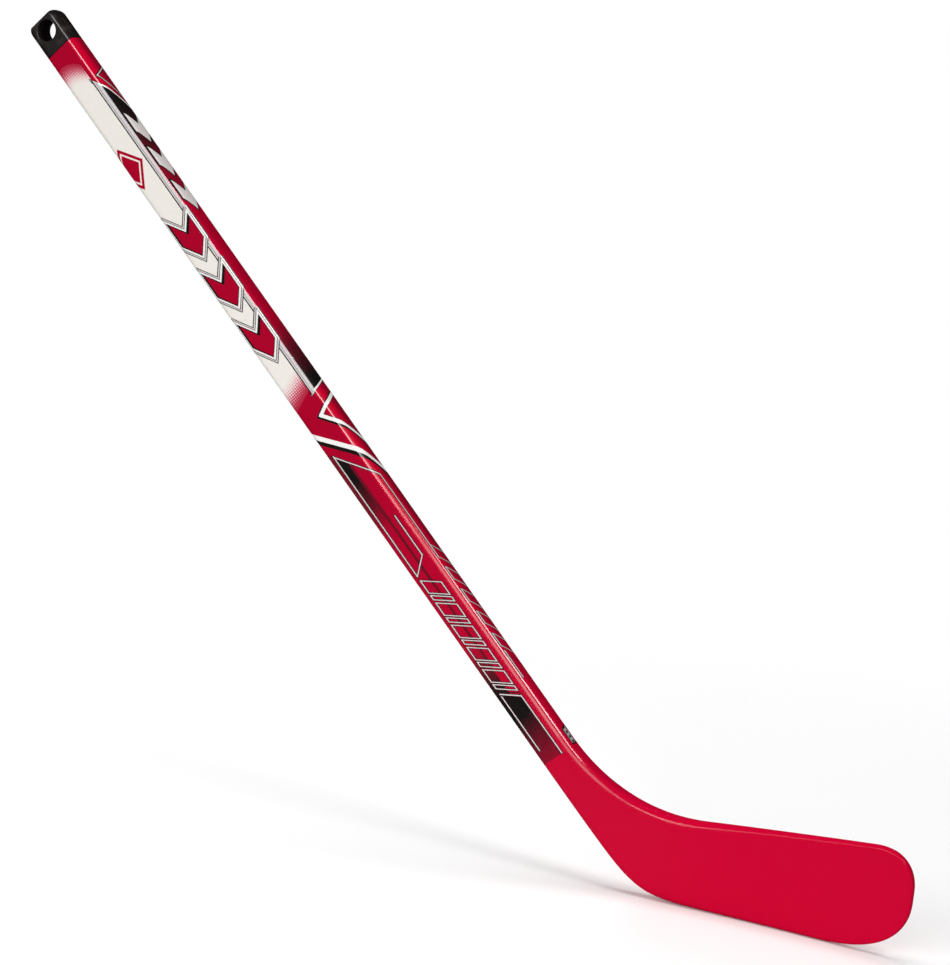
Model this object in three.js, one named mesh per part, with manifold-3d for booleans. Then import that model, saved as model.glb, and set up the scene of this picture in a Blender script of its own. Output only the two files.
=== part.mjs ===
// Child's ice hockey stick, left-handed, in its playing pose: a moulded composite tube in a printed
// wrap, a plastic butt end cap with a hanging hole, and a laminated blade on a solid hosel.
// Millimetres. +X runs from heel to toe, +Y away from the forehand face, +Z up.
// The origin is on the shaft's axis, at the middle of the top hand's grip.
import * as THREE from 'three';
import { ParametricGeometry } from 'three/addons/geometries/ParametricGeometry.js';
import { mergeVertices } from 'three/addons/utils/BufferGeometryUtils.js';
import Module from 'manifold-3d';

const wasm = await Module();
wasm.setup();

// ---- Driving dimensions ----------------------------------------------------------------------
const LIE = THREE.MathUtils.degToRad(44);      // between the shaft and the ice
const AXIS_LENGTH = 732;                       // butt end to where the shaft's axis meets the ice
const GRIP_FROM_BUTT = 40;                     // middle of the top hand's grip
const GAP = 0.3;                               // clearance between neighbouring pieces

const SHAFT = { width: 25, thickness: 16.8, corner: 3.4, bow: 1.0 };
const CAP = { collar: 24.7, endCorner: 4.2, tenon: 42, holeRadius: 7.3, holeFromEnd: 8.9 };
const TUBE = { end: 600, wall: 2.0 };          // measured from the butt end
const WRAP_THICKNESS = 0.4;
const PLUG = { from: 500, length: 32 };
const TENON_LENGTH = 56;                       // of the hosel, inside the tube
const HOSEL_CHORDS = 17;                       // how many of the blade's chords the hosel reaches
const LABEL = { from: 604, length: 12.5, halfAngle: 0.085, thickness: 0.4 };

const BLADE = {
  length: 165.4,       // from the axis's foot on the ice to the tip of the toe
  tipHeight: 42,       // of the toe's foremost point above the ice
  topAtHeel: 55.2,     // height of the top edge's line above the axis's foot
  topSlope: 0.1,
  flatBottom: 100,     // where the sole starts to rise towards the toe
  toeTop: 135,         // where the top edge starts to turn down
  toeSharpness: 2.6,   // superellipse exponents of the toe's lower and upper corner
  toeTopSharpness: 2.3,
  innerRadius: 125,    // of the curve between the shaft and the blade's top edge
  heelSharpness: 22,
  curveDepth: 9,       // how far the toe curves towards the forehand side
  curveStart: 5,
  curveSharpness: 1.9,
  heelCorner: 4.4,     // radius of the rounded edges from the heel on
  hoselEnd: -85,       // where the section starts to change from the shaft's
  thinning: [          // half of the thickness at the end of each stretch of x
    { from: -85, to: 5, half: 6.2 },
    { from: -10, to: 85, half: 3.9 },
    { from: 60, to: 160, half: 3.0 },
  ],
};
const EDGE_BAND = 4.6;
const SKIN = 1.2;

// Limits that keep the smallest sections well formed.
const FLATTEST_BOW = 0.01;
const SMALLEST_CORNER = 0.8;
const THINNEST = 0.02;
const FULLEST_CORNER = 0.86;                   // as a share of a section's half-thickness or half-width
const FULLEST_BOW = 0.3;                       // as a share of its half-width

// ---- Directions and helpers ------------------------------------------------------------------
const alongShaft = new THREE.Vector3(Math.cos(LIE), 0, -Math.sin(LIE));
const axisFoot = alongShaft.clone().multiplyScalar(AXIS_LENGTH - GRIP_FROM_BUTT);
const lerp = THREE.MathUtils.lerp;
const smooth = THREE.MathUtils.smoothstep;

/** Merge shared vertices and drop collapsed triangles, so that the surface is one closed mesh. */
function closed(geometry) {
  geometry.deleteAttribute('normal');
  geometry.deleteAttribute('uv');
  const merged = mergeVertices(geometry, 1e-4);
  const index = merged.index.array;
  const kept = [];
  for (let i = 0; i < index.length; i += 3) {
    const [a, b, c] = [index[i], index[i + 1], index[i + 2]];
    if (a !== b && b !== c && c !== a) kept.push(a, b, c);
  }
  merged.setIndex(kept);
  return merged;
}

/** A manifold solid from a closed geometry. */
function solid(geometry) {
  const merged = closed(geometry);
  return new wasm.Manifold(new wasm.Mesh({
    numProp: 3,
    vertProperties: Float32Array.from(merged.attributes.position.array),
    triVerts: Uint32Array.from(merged.index.array),
  }));
}

/** A geometry from a manifold solid. */
function geometryOf(manifold) {
  const mesh = manifold.getMesh();
  const geometry = new THREE.BufferGeometry();
  geometry.setAttribute('position', new THREE.BufferAttribute(mesh.vertProperties, 3));
  geometry.setIndex(new THREE.BufferAttribute(mesh.triVerts, 1));
  return geometry;
}

/** The circle that a bowed narrow face follows inside its rounded corners, and its half-angle. */
function bowCircle(halfThick, corner, bow) {
  const innerThick = halfThick - corner;
  const innerBow = Math.max(bow * (innerThick / halfThick) ** 2, FLATTEST_BOW);
  const radius = (innerThick ** 2 + innerBow ** 2) / (2 * innerBow);
  return { innerThick, radius, spread: Math.asin(innerThick / radius) };
}

/** Outline of a shaft-like section: flat wide faces along x, round corners, and narrow faces that
 *  bow out on a large radius. The corner fans meet the bowed faces without a kink. */
function sectionOutline(halfWidth, halfThick, corner, bow) {
  const cornerSteps = 5;
  const bowSteps = 6;
  const { innerThick, radius, spread } = bowCircle(halfThick, corner, bow);
  const centre = halfWidth - corner - radius;
  const points = [];
  const put = (side, x, y, angle) => points.push(
    new THREE.Vector2(side * (x + corner * Math.cos(angle)), side * (y + corner * Math.sin(angle))));
  for (const side of [1, -1]) {
    const endX = centre + radius * Math.cos(spread);
    for (let i = 0; i < cornerSteps; i += 1) {
      put(side, endX, -innerThick, lerp(-Math.PI / 2, -spread, i / cornerSteps));
    }
    for (let i = 0; i <= bowSteps; i += 1) {
      const angle = lerp(-spread, spread, i / bowSteps);
      put(side, centre + radius * Math.cos(angle), radius * Math.sin(angle), angle);
    }
    for (let i = 1; i <= cornerSteps; i += 1) {
      put(side, endX, innerThick, lerp(spread, Math.PI / 2, i / cornerSteps));
    }
  }
  return points;
}

/** The shaft's own section, drawn in by `inset` all round. */
function shaftSection(inset) {
  const { width, thickness, corner, bow } = SHAFT;
  const insetCorner = Math.max(corner - inset, SMALLEST_CORNER);
  return sectionOutline(width / 2 - inset, thickness / 2 - inset, insetCorner, bow);
}

/** A straight length of the shaft's section between two distances from the butt end, with an
 *  optional hollow of a deeper inset. */
function shaftLength(from, to, inset, hollowInset) {
  const shape = new THREE.Shape(shaftSection(inset));
  if (hollowInset) shape.holes.push(new THREE.Path(shaftSection(hollowInset)));
  const geometry = new THREE.ExtrudeGeometry(shape, { depth: to - from, bevelEnabled: false });
  return geometry.translate(0, 0, from);
}

/** A lofted surface through `rings`, each an array of Vector3 of one length, closed at both ends. */
function loft(rings) {
  const middle = (ring) => ring.reduce((sum, p) => sum.add(p), new THREE.Vector3()).divideScalar(ring.length);
  const first = rings[0];
  const last = rings[rings.length - 1];
  const all = [first.map(() => middle(first)), ...rings, last.map(() => middle(last))];
  const points = first.length;
  const place = (u, v, target) => {
    const ring = all[Math.round(v * (all.length - 1))];
    target.copy(ring[(points - Math.round(u * points)) % points]);
  };
  return new ParametricGeometry(place, points, all.length - 1);
}

// ---- The blade's outline, in x and z from the foot of the shaft's axis -------------------------
const topTilt = Math.atan(BLADE.topSlope);
const turn = LIE + topTilt;
const halfWidthAcross = SHAFT.width / 2;
const topLine = (x) => BLADE.topAtHeel + BLADE.topSlope * x;

// The shaft's upper edge and the blade's top line would meet in a corner; the inner curve rounds it.
const edgeFoot = halfWidthAcross / Math.sin(LIE);
const cornerX = (edgeFoot * Math.tan(LIE) - BLADE.topAtHeel) / (BLADE.topSlope + Math.tan(LIE));
const bisector = (Math.PI - LIE + topTilt) / 2;
const swing = new THREE.Vector2(Math.cos(bisector), Math.sin(bisector))
  .multiplyScalar(BLADE.innerRadius / Math.cos(turn / 2))
  .add(new THREE.Vector2(cornerX, topLine(cornerX)));

/** Unit direction from the swing centre down a chord that leans `lean` back from the vertical. */
const chordDirection = (lean) => new THREE.Vector2(-Math.sin(lean), -Math.cos(lean));

/** Distance from the swing centre to the outer edge: a soft minimum of the shaft's lower edge and
 *  the ice, which rounds the heel. */
function outerReach(lean) {
  const toShaftEdge = (BLADE.innerRadius + SHAFT.width) / Math.cos(LIE - lean);
  const toIce = swing.y / Math.cos(lean);
  const power = BLADE.heelSharpness;
  return (toShaftEdge ** -power + toIce ** -power) ** (-1 / power);
}

/** Quarter of a superellipse: 1 at the start of the toe's corner and 0 at its tip. */
function toeFall(x, start, end, sharpness) {
  const share = THREE.MathUtils.clamp((x - start) / (end - start), 0, 1);
  return (1 - share ** sharpness) ** (1 / sharpness);
}

function soleHeight(x, inset) {
  const { tipHeight, flatBottom, length, toeSharpness } = BLADE;
  const fall = toeFall(x, flatBottom, length - inset, toeSharpness);
  return tipHeight - (tipHeight - inset) * fall;
}

function topHeight(x, inset) {
  const { tipHeight, toeTop, length, toeTopSharpness } = BLADE;
  const fall = toeFall(x, toeTop, length - inset, toeTopSharpness);
  return tipHeight + (topLine(x) - inset - tipHeight) * fall;
}

/** Middle of the blade's thickness, which curves towards the forehand side. */
function curve(x) {
  const share = Math.max(x - BLADE.curveStart, 0) / (BLADE.length - BLADE.curveStart);
  return -BLADE.curveDepth * share ** BLADE.curveSharpness;
}

/** Half of the thickness: the shaft's at the hosel, thinner along the blade, round at the toe. */
function halfThickness(x) {
  return BLADE.thinning.reduce(
    (half, stretch) => lerp(half, stretch.half, smooth(x, stretch.from, stretch.to)),
    SHAFT.thickness / 2,
  );
}

/** Chords of the hosel, heel and blade from the tube's end to the toe: each has its lower and upper
 *  end, drawn in by `inset`, in order. */
function chords(inset) {
  const list = [];
  const straightSteps = 3;
  const turnSteps = 18;
  const bladeSteps = 26;
  const start = -(AXIS_LENGTH - TUBE.end - GAP);
  const reach = chordDirection(LIE);
  const turnStart = (swing.x + reach.x * BLADE.innerRadius) * Math.cos(LIE)
    - (swing.y + reach.y * BLADE.innerRadius) * Math.sin(LIE);
  for (let i = 0; i < straightSteps; i += 1) {
    const along = lerp(start, turnStart, i / straightSteps);
    const centre = new THREE.Vector2(along * Math.cos(LIE), -along * Math.sin(LIE));
    const half = reach.clone().multiplyScalar(halfWidthAcross - inset);
    list.push({ low: centre.clone().add(half), high: centre.clone().sub(half) });
  }
  for (let i = 0; i <= turnSteps; i += 1) {
    const lean = lerp(LIE, -topTilt, i / turnSteps);
    const direction = chordDirection(lean);
    list.push({
      low: direction.clone().multiplyScalar(outerReach(lean) - inset).add(swing),
      high: direction.clone().multiplyScalar(BLADE.innerRadius + inset).add(swing),
    });
  }
  const { low, high } = list[list.length - 1];
  const lift = low.y - inset;
  const tip = BLADE.length - inset;
  for (let i = 1; i <= bladeSteps; i += 1) {
    const share = Math.sin((i / bladeSteps) * Math.PI / 2);
    const lowX = lerp(low.x, tip, share);
    const highX = lerp(high.x, tip, share);
    list.push({
      low: new THREE.Vector2(lowX, soleHeight(lowX, inset) + lift * (1 - share)),
      high: new THREE.Vector2(highX, topHeight(highX, inset)),
    });
  }
  return list;
}

/** A ring of the blade on one chord: `outline(half, x)` gives its points across and through. */
function bladeRing(chord, outline) {
  const { low, high } = chord;
  const half = high.distanceTo(low) / 2;
  const centre = low.clone().add(high).multiplyScalar(0.5);
  const across = half > 1e-6 ? high.clone().sub(low).divideScalar(2 * half) : new THREE.Vector2(0, 1);
  return outline(half, centre.x).map(({ x, y }) => {
    const spot = across.clone().multiplyScalar(x).add(centre);
    return new THREE.Vector3(spot.x, curve(spot.x) + y, spot.y);
  });
}

/** The outer section of the blade: the shaft's at the hosel, with fuller rounding further down. */
function outerOutline(half, x) {
  const atTip = Math.min((BLADE.length - x) / halfThickness(x), 1);
  const thick = Math.max(halfThickness(x) * Math.sqrt(1 - (1 - atTip) ** 2), THINNEST);
  const width = Math.max(half, THINNEST);
  const rounding = lerp(SHAFT.corner, BLADE.heelCorner, smooth(x, BLADE.hoselEnd, 0));
  const corner = Math.min(rounding, FULLEST_CORNER * thick, FULLEST_CORNER * width);
  const bow = Math.min(SHAFT.bow * thick / (SHAFT.thickness / 2), FULLEST_BOW * width);
  return sectionOutline(width, thick, corner, bow);
}

/** A flat plate's outline between two depths through the blade, as fractions made by `depths(x)`. */
function plateOutline(depths) {
  const steps = 4;
  return (half, x) => {
    const [front, back] = depths(x);
    const points = [];
    for (let i = 0; i <= steps; i += 1) points.push(new THREE.Vector2(lerp(-half, half, i / steps), front));
    for (let i = 0; i <= steps; i += 1) points.push(new THREE.Vector2(lerp(half, -half, i / steps), back));
    return points;
  };
}

const plateInset = EDGE_BAND + GAP;
const wholeBlade = chords(0);
const insideBand = chords(plateInset).slice(0, -1);

/** Depths of the two skins and of what lies between them. */
const forehandDepths = (x) => [-halfThickness(x), SKIN - halfThickness(x)];
const backhandDepths = (x) => [halfThickness(x) - SKIN, halfThickness(x)];
const coreDepths = (x) => [SKIN + GAP - halfThickness(x), halfThickness(x) - SKIN - GAP];

/** A plate between the skins' depths on a run of the chords inside the edge band. */
function plate(from, to, depths) {
  return loft(insideBand.slice(from, to).map((chord) => bladeRing(chord, plateOutline(depths))));
}

// ---- Pieces of the shaft -----------------------------------------------------------------------
const tubeOuter = WRAP_THICKNESS + GAP;
const boreInset = tubeOuter + TUBE.wall;
const plugInset = boreInset + GAP;

/** Collar with its end corners rounded in the wide face, a tenon, and the hanging hole through. */
function buttEndCap() {
  const { collar, endCorner, tenon, holeRadius, holeFromEnd } = CAP;
  const { width, thickness } = SHAFT;
  const half = width / 2;
  const clear = 1;
  const outline = new THREE.Shape();
  outline.moveTo(half + clear, collar + clear);
  outline.lineTo(-half - clear, collar + clear);
  outline.lineTo(-half - clear, endCorner);
  outline.lineTo(-half, endCorner);
  outline.absarc(-half + endCorner, endCorner, endCorner, Math.PI, 1.5 * Math.PI);
  outline.absarc(half - endCorner, endCorner, endCorner, 1.5 * Math.PI, 2 * Math.PI);
  outline.lineTo(half + clear, endCorner);
  const through = 2 * thickness;
  const extrusion = { depth: through, bevelEnabled: false, curveSegments: 8 };
  const silhouette = new THREE.ExtrudeGeometry(outline, extrusion);
  silhouette.translate(0, 0, -through / 2).rotateX(Math.PI / 2);
  const hole = new THREE.CylinderGeometry(holeRadius, holeRadius, through, 48);
  hole.translate(0, 0, holeFromEnd);
  const body = solid(shaftLength(0, collar, 0)).intersect(solid(silhouette));
  const foot = solid(shaftLength(collar - clear, collar + tenon, plugInset));
  return geometryOf(body.add(foot).subtract(solid(hole)));
}

/** The hosel: a tenon that fills the end of the tube, and a slimmer neck below it that carries on
 *  between the blade's skins. */
function hosel() {
  const below = solid(plate(0, HOSEL_CHORDS, coreDepths));
  const frame = new THREE.Matrix4().makeRotationY(Math.PI / 2 + LIE);
  frame.setPosition(alongShaft.clone().multiplyScalar(-AXIS_LENGTH));
  const tenon = shaftLength(TUBE.end - TENON_LENGTH, TUBE.end, plugInset).applyMatrix4(frame);
  const neckOverlap = 2;
  const neckWidth = 2 * (halfWidthAcross - plateInset - GAP);
  const neckThickness = 2 * (SHAFT.thickness / 2 - plugInset - GAP);
  const neck = new THREE.BoxGeometry(neckWidth, neckThickness, 2 * neckOverlap);
  neck.translate(0, 0, TUBE.end).applyMatrix4(frame);
  return geometryOf(below.add(solid(tenon)).add(solid(neck)));
}

/** The laminated strip round the blade's rim, from one side of the hosel to the other. */
function edgeBand() {
  const whole = solid(loft(wholeBlade.slice(0, -1).map((chord) => bladeRing(chord, outerOutline))));
  const inner = chords(EDGE_BAND).slice(0, -1);
  const overrun = inner[0].low.clone().sub(inner[1].low).multiplyScalar(0.2);
  inner.unshift({ low: inner[0].low.clone().add(overrun), high: inner[0].high.clone().add(overrun) });
  const wide = SHAFT.thickness;
  const cutter = loft(inner.map((chord) => bladeRing(chord, plateOutline(() => [-wide, wide]))));
  return geometryOf(whole.subtract(solid(cutter)));
}

/** A thin patch that follows the bowed narrow face on the toe side of the hosel. */
function specLabel() {
  const { from, length, halfAngle, thickness } = LABEL;
  const faceRadius = bowCircle(SHAFT.thickness / 2, SHAFT.corner, SHAFT.bow).radius + SHAFT.corner;
  const centre = faceRadius - SHAFT.width / 2;
  const inner = faceRadius + GAP;
  const shape = new THREE.Shape();
  shape.absarc(centre, 0, inner + thickness, Math.PI - halfAngle, Math.PI + halfAngle);
  shape.absarc(centre, 0, inner, Math.PI + halfAngle, Math.PI - halfAngle, true);
  const geometry = new THREE.ExtrudeGeometry(shape, { depth: length, bevelEnabled: false, curveSegments: 8 });
  return geometry.translate(0, 0, from);
}

// ---- Assembly ----------------------------------------------------------------------------------
const finish = {
  capPlastic: { color: 0x2a2626, roughness: 0.5, metalness: 0 },
  composite: { color: 0x2e2b2c, roughness: 0.55, metalness: 0 },
  print: { color: 0xb30028, roughness: 0.3, metalness: 0 },
  paint: { color: 0xc2002c, roughness: 0.22, metalness: 0 },
  foam: { color: 0xd9d2bf, roughness: 0.9, metalness: 0 },
  resin: { color: 0x6d6a55, roughness: 0.6, metalness: 0 },
  label: { color: 0xb9bcc0, roughness: 0.35, metalness: 0.2 },
};

function piece(name, geometry, look) {
  const mesh = new THREE.Mesh(geometry, new THREE.MeshStandardMaterial(finish[look]));
  mesh.name = name;
  return mesh;
}

const shaft = new THREE.Group();
shaft.rotation.y = Math.PI / 2 + LIE;
shaft.position.copy(alongShaft).multiplyScalar(-GRIP_FROM_BUTT);
shaft.add(
  piece('butt_end_cap', buttEndCap(), 'capPlastic'),
  piece('shaft_tube', shaftLength(CAP.collar + GAP, TUBE.end, tubeOuter, boreInset), 'composite'),
  piece('graphic_wrap', shaftLength(CAP.collar + GAP, TUBE.end, 0, WRAP_THICKNESS), 'print'),
  piece('tube_foam_plug', shaftLength(PLUG.from, PLUG.from + PLUG.length, plugInset), 'foam'),
  piece('spec_label', specLabel(), 'label'),
);

const blade = new THREE.Group();
blade.position.copy(axisFoot);
blade.add(
  piece('hosel', hosel(), 'resin'),
  piece('blade_foam_core', closed(plate(HOSEL_CHORDS, undefined, coreDepths)), 'foam'),
  piece('forehand_skin', closed(plate(0, undefined, forehandDepths)), 'paint'),
  piece('backhand_skin', closed(plate(0, undefined, backhandDepths)), 'paint'),
  piece('blade_edge_band', edgeBand(), 'paint'),
);

const stick = new THREE.Group();
stick.add(shaft, blade);

export default stick;
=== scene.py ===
"""Looks of a child's ice hockey stick: printed shaft wrap, moulded butt end cap, lacquered blade.

Lengths are in metres unless a name ends in _mm. The shaft's print is laid out in millimetres on
the unrolled surface: `along` runs from the butt end, and `around` from the middle of the forehand
face.
"""

import logging
import math
from collections.abc import Iterable
from dataclasses import dataclass, field
from enum import Enum

import bpy
import numpy as np
from mathutils import Matrix, Vector


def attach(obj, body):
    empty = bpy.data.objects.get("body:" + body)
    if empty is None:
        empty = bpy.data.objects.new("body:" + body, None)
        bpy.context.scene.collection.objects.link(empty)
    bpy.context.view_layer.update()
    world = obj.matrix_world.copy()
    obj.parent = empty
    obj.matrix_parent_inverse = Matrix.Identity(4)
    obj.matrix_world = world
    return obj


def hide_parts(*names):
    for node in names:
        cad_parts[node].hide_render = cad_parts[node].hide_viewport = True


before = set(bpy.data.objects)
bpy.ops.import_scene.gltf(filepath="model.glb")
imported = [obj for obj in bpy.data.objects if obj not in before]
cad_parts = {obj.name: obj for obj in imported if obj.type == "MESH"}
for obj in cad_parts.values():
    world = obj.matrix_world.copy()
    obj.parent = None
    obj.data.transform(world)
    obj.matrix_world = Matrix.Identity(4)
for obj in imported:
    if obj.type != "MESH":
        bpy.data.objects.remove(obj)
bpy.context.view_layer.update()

LOG = logging.getLogger("stick")
BODY = "root"
MM = 0.001
UNROLLED = "Unrolled"
SMALLEST_CORNER = 0.0008

Pair = tuple[float, float]
Triple = tuple[float, float, float]
Colour = tuple[float, float, float]
Segment = tuple[Pair, Pair]
Path = tuple[Pair, ...]
Stops = tuple[tuple[float, Colour], ...]
Paint = Colour | bpy.types.NodeSocket
Value = np.ndarray | float


def srgb(code: str) -> Colour:
    """Linear colour from a hexadecimal display colour."""
    shares = [int(code[i:i + 2], 16) / 255.0 for i in (0, 2, 4)]
    return tuple(c / 12.92 if c <= 0.04045 else ((c + 0.055) / 1.055) ** 2.4 for c in shares)


# ---- Sizes shared by the sub-assemblies --------------------------------------------------------
@dataclass(frozen=True)
class StickSizes:
    """Driving sizes of the stick, in metres and radians."""

    lie: float = math.radians(44.0)
    axis_length: float = 0.732
    grip_from_butt: float = 0.040
    width: float = 0.025
    thickness: float = 0.0168
    corner: float = 0.0034
    low_corner: float = 0.0054
    corner_grows: Pair = (0.30, 0.62)
    bow: float = 0.001
    collar: float = 0.0247
    seam: float = 0.0003
    tube_end: float = 0.600
    label_length: float = 0.0125
    label_half: float = 0.0033
    floor_gap: float = 0.0002

    @property
    def along(self) -> np.ndarray:
        """Unit direction from the butt end to the heel."""
        return np.array([math.cos(self.lie), 0.0, -math.sin(self.lie)])

    @property
    def across(self) -> np.ndarray:
        """Unit direction across the wide faces, towards the toe side."""
        return np.array([math.sin(self.lie), 0.0, math.cos(self.lie)])

    @property
    def foot(self) -> np.ndarray:
        """Where the shaft's axis meets the ice."""
        return self.along * (self.axis_length - self.grip_from_butt)

    def place(self, along: Value, across: Value, through: Value) -> np.ndarray:
        """Points of the stick's frame: each distance times its own direction, added up.

        Args:
            along: Distances from the butt end.
            across: Distances from the axis towards the toe side.
            through: Distances from the axis towards the back.

        Returns:
            The points, with their coordinates in a last axis.
        """
        same = np.broadcast_arrays(along, across, through)
        run, side, depth = (values[..., None] for values in same)
        behind = np.array([0.0, 1.0, 0.0])
        return (run - self.grip_from_butt) * self.along + side * self.across + depth * behind


SIZES = StickSizes()


def smooth(value: Value, low: float, high: float) -> Value:
    """Smooth step from 0 at `low` to 1 at `high`: 3t squared less 2t cubed."""
    share = np.clip((value - low) / (high - low), 0.0, 1.0)
    return share * share * (3.0 - 2.0 * share)


def mix(start: Value, end: Value, share: Value) -> Value:
    """Straight mix from `start` at share 0 to `end` at share 1."""
    return start + (end - start) * share


# ---- Surfaces ----------------------------------------------------------------------------------
@dataclass
class Outline:
    """Closed sections with flat wide faces, round corners and bowed narrow faces.

    Every array holds one value for each ring. The narrow faces follow a large circle, and the
    corners are small circles that meet it and the flat faces without a kink.
    """

    half_width: np.ndarray
    half_thick: np.ndarray
    corner: np.ndarray
    bow: np.ndarray
    corner_steps: int = 10
    bow_steps: int = 8
    flat_steps: int = 10

    def points(self) -> np.ndarray:
        """Points of each ring, from the middle of the heel-side narrow face round to it again.

        Returns:
            An array of rings by points by (across, through). The last point repeats the first.
        """
        column = [np.asarray(values, float)[:, None] for values in
                  (self.half_width, self.half_thick, self.corner, self.bow)]
        half_width, half_thick, corner, bow = column
        inner = half_thick - corner
        inner_bow = np.maximum(bow * (inner / half_thick) ** 2, 0.01 * MM)
        radius = (inner ** 2 + inner_bow ** 2) / (2.0 * inner_bow)
        spread = np.arcsin(inner / radius)
        centre = half_width - corner - radius
        end = centre + radius * np.cos(spread)
        quarter = np.full_like(spread, 0.5 * np.pi)

        def fan(sign_a: int, sign_t: int, start: np.ndarray, stop: np.ndarray) -> np.ndarray:
            """A corner's arc from one angle to another.

            Args:
                sign_a: Side of the section across: 1 towards the toe, -1 towards the heel.
                sign_t: Side of the section through: 1 is the back, -1 the forehand.
                start: Angle that it starts at.
                stop: Angle that it ends before.

            Returns:
                The points of every ring as (across, through).
            """
            angle = mix(start, stop, np.linspace(0, 1, self.corner_steps, endpoint=False))
            return np.stack([sign_a * (end + corner * np.cos(angle)),
                             sign_t * (inner + corner * np.sin(angle))], -1)

        def bowed(sign_a: int, start: np.ndarray, stop: np.ndarray, steps: int) -> np.ndarray:
            """A stretch of a narrow face, with positive angles towards the back.

            Args:
                sign_a: Side of the section across: 1 towards the toe, -1 towards the heel.
                start: Angle that it starts at.
                stop: Angle that it ends before.
                steps: How many points it has.

            Returns:
                The points of every ring as (across, through).
            """
            angle = mix(start, stop, np.linspace(0, 1, steps, endpoint=False))
            return np.stack([sign_a * (centre + (radius + corner) * np.cos(angle)),
                             (radius + corner) * np.sin(angle)], -1)

        def flat(sign_t: int) -> np.ndarray:
            """A wide face: towards the toe side in front, and towards the heel side behind.

            Args:
                sign_t: Side of the section through: 1 is the back, -1 the forehand.

            Returns:
                The points of every ring as (across, through).
            """
            share = np.linspace(-1, 1, self.flat_steps, endpoint=False)
            across = -sign_t * end * share
            return np.stack([across, np.broadcast_to(sign_t * half_thick, across.shape)], -1)

        half = self.bow_steps // 2
        none = np.zeros_like(spread)
        parts = [bowed(-1, none, -spread, half), fan(-1, -1, spread, quarter), flat(-1),
                 fan(1, -1, quarter, spread), bowed(1, -spread, spread, self.bow_steps),
                 fan(1, 1, spread, quarter), flat(1), fan(-1, 1, quarter, spread),
                 bowed(-1, spread, none, half)]
        ring = np.concatenate(parts, axis=1)
        return np.concatenate([ring, ring[:, :1]], axis=1)


def unrolled(ring: np.ndarray) -> np.ndarray:
    """Distance round each ring: its steps added up, less a quarter of the whole.

    Args:
        ring: Points of rings that start in the middle of the heel-side narrow face.

    Returns:
        The distance of each point from the middle of the forehand face.
    """
    steps = np.linalg.norm(np.diff(ring, axis=1), axis=2)
    around = np.concatenate([np.zeros((len(ring), 1)), np.cumsum(steps, axis=1)], axis=1)
    return around - 0.25 * around[:, -1:]


class Ends(Enum):
    """How the two ends of a grid of rings are closed."""

    POLES = "poles"
    LOOP = "loop"


@dataclass
class Grid:
    """A closed surface of rings.

    `points` is rings by columns by 3, and its last column is the first again. `along` and `around`
    are the unrolled distances of the same points.
    """

    points: np.ndarray
    along: np.ndarray
    around: np.ndarray
    ends: Ends = Ends.POLES

    def faces(self) -> tuple[np.ndarray, np.ndarray, np.ndarray, np.ndarray]:
        """Vertices, quads, triangles and the (row, column) of every corner, in face order.

        Returns:
            The vertex positions, the quads' and the triangles' vertex numbers, and for each face
            corner its row and column in the grid, which the UV map reads.
        """
        rows, columns = self.points.shape[0], self.points.shape[1] - 1
        vertices = self.points[:, :-1].reshape(-1, 3)
        last = rows if self.ends is Ends.LOOP else rows - 1
        row, column = np.meshgrid(np.arange(last), np.arange(columns), indexing="ij")
        row, column = row.ravel(), column.ravel()
        corner_rows = np.stack([row, row, row + 1, row + 1], -1)
        corner_columns = np.stack([column, column + 1, column + 1, column], -1)
        quads = (corner_rows % rows) * columns + corner_columns % columns
        triangles = np.zeros((0, 3), int)
        triangle_spots = np.zeros((0, 3, 2), int)
        if self.ends is Ends.POLES:
            poles = np.stack([self.points[0, :-1].mean(0), self.points[-1, :-1].mean(0)])
            vertices = np.concatenate([vertices, poles])
            j = np.arange(columns)
            k = (j + 1) % columns
            base = (rows - 1) * columns
            first = np.stack([np.full(columns, rows * columns), k, j], -1)
            final = np.stack([np.full(columns, rows * columns + 1), base + j, base + k], -1)
            triangles = np.concatenate([first, final])
            start_columns, end_columns = np.stack([j, j + 1, j], -1), np.stack([j, j, j + 1], -1)
            spot_columns = np.concatenate([start_columns, end_columns])
            spot_rows = np.repeat([0, rows - 1], columns)[:, None] + np.zeros(3, int)
            triangle_spots = np.stack([spot_rows, spot_columns], -1)
        spots = np.stack([corner_rows % rows, corner_columns], -1)
        corners = np.concatenate([spots.reshape(-1, 2), triangle_spots.reshape(-1, 2)])
        return vertices, quads, triangles, corners


def build(name: str, grids: list[Grid], sharp: float = 40.0) -> bpy.types.Object:
    """One smooth-shaded object from grids of rings.

    Args:
        name: The object's name.
        grids: The closed surfaces it holds.
        sharp: Angle in degrees from which an edge stays sharp.

    Returns:
        The linked object, with a UV map of (along, around) in metres.
    """
    vertices, faces, coordinates, count = [], [], [], 0
    for grid in grids:
        spots, quads, triangles, rings = grid.faces()
        vertices.append(spots)
        faces += (quads + count).tolist() + (triangles + count).tolist()
        coordinates.append(np.stack([grid.along[rings[:, 0], rings[:, 1]],
                                     grid.around[rings[:, 0], rings[:, 1]]], -1))
        count += len(spots)
    mesh = bpy.data.meshes.new(name)
    mesh.from_pydata(np.concatenate(vertices).tolist(), [], faces)
    layer = mesh.uv_layers.new(name=UNROLLED)
    layer.data.foreach_set("uv", np.concatenate(coordinates).astype(np.float32).ravel())
    mesh.polygons.foreach_set("use_smooth", np.ones(len(mesh.polygons), bool))
    mesh.update()
    mesh.set_sharp_from_angle(angle=math.radians(sharp))
    made = bpy.data.objects.new(name, mesh)
    bpy.context.scene.collection.objects.link(made)
    return made


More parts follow.
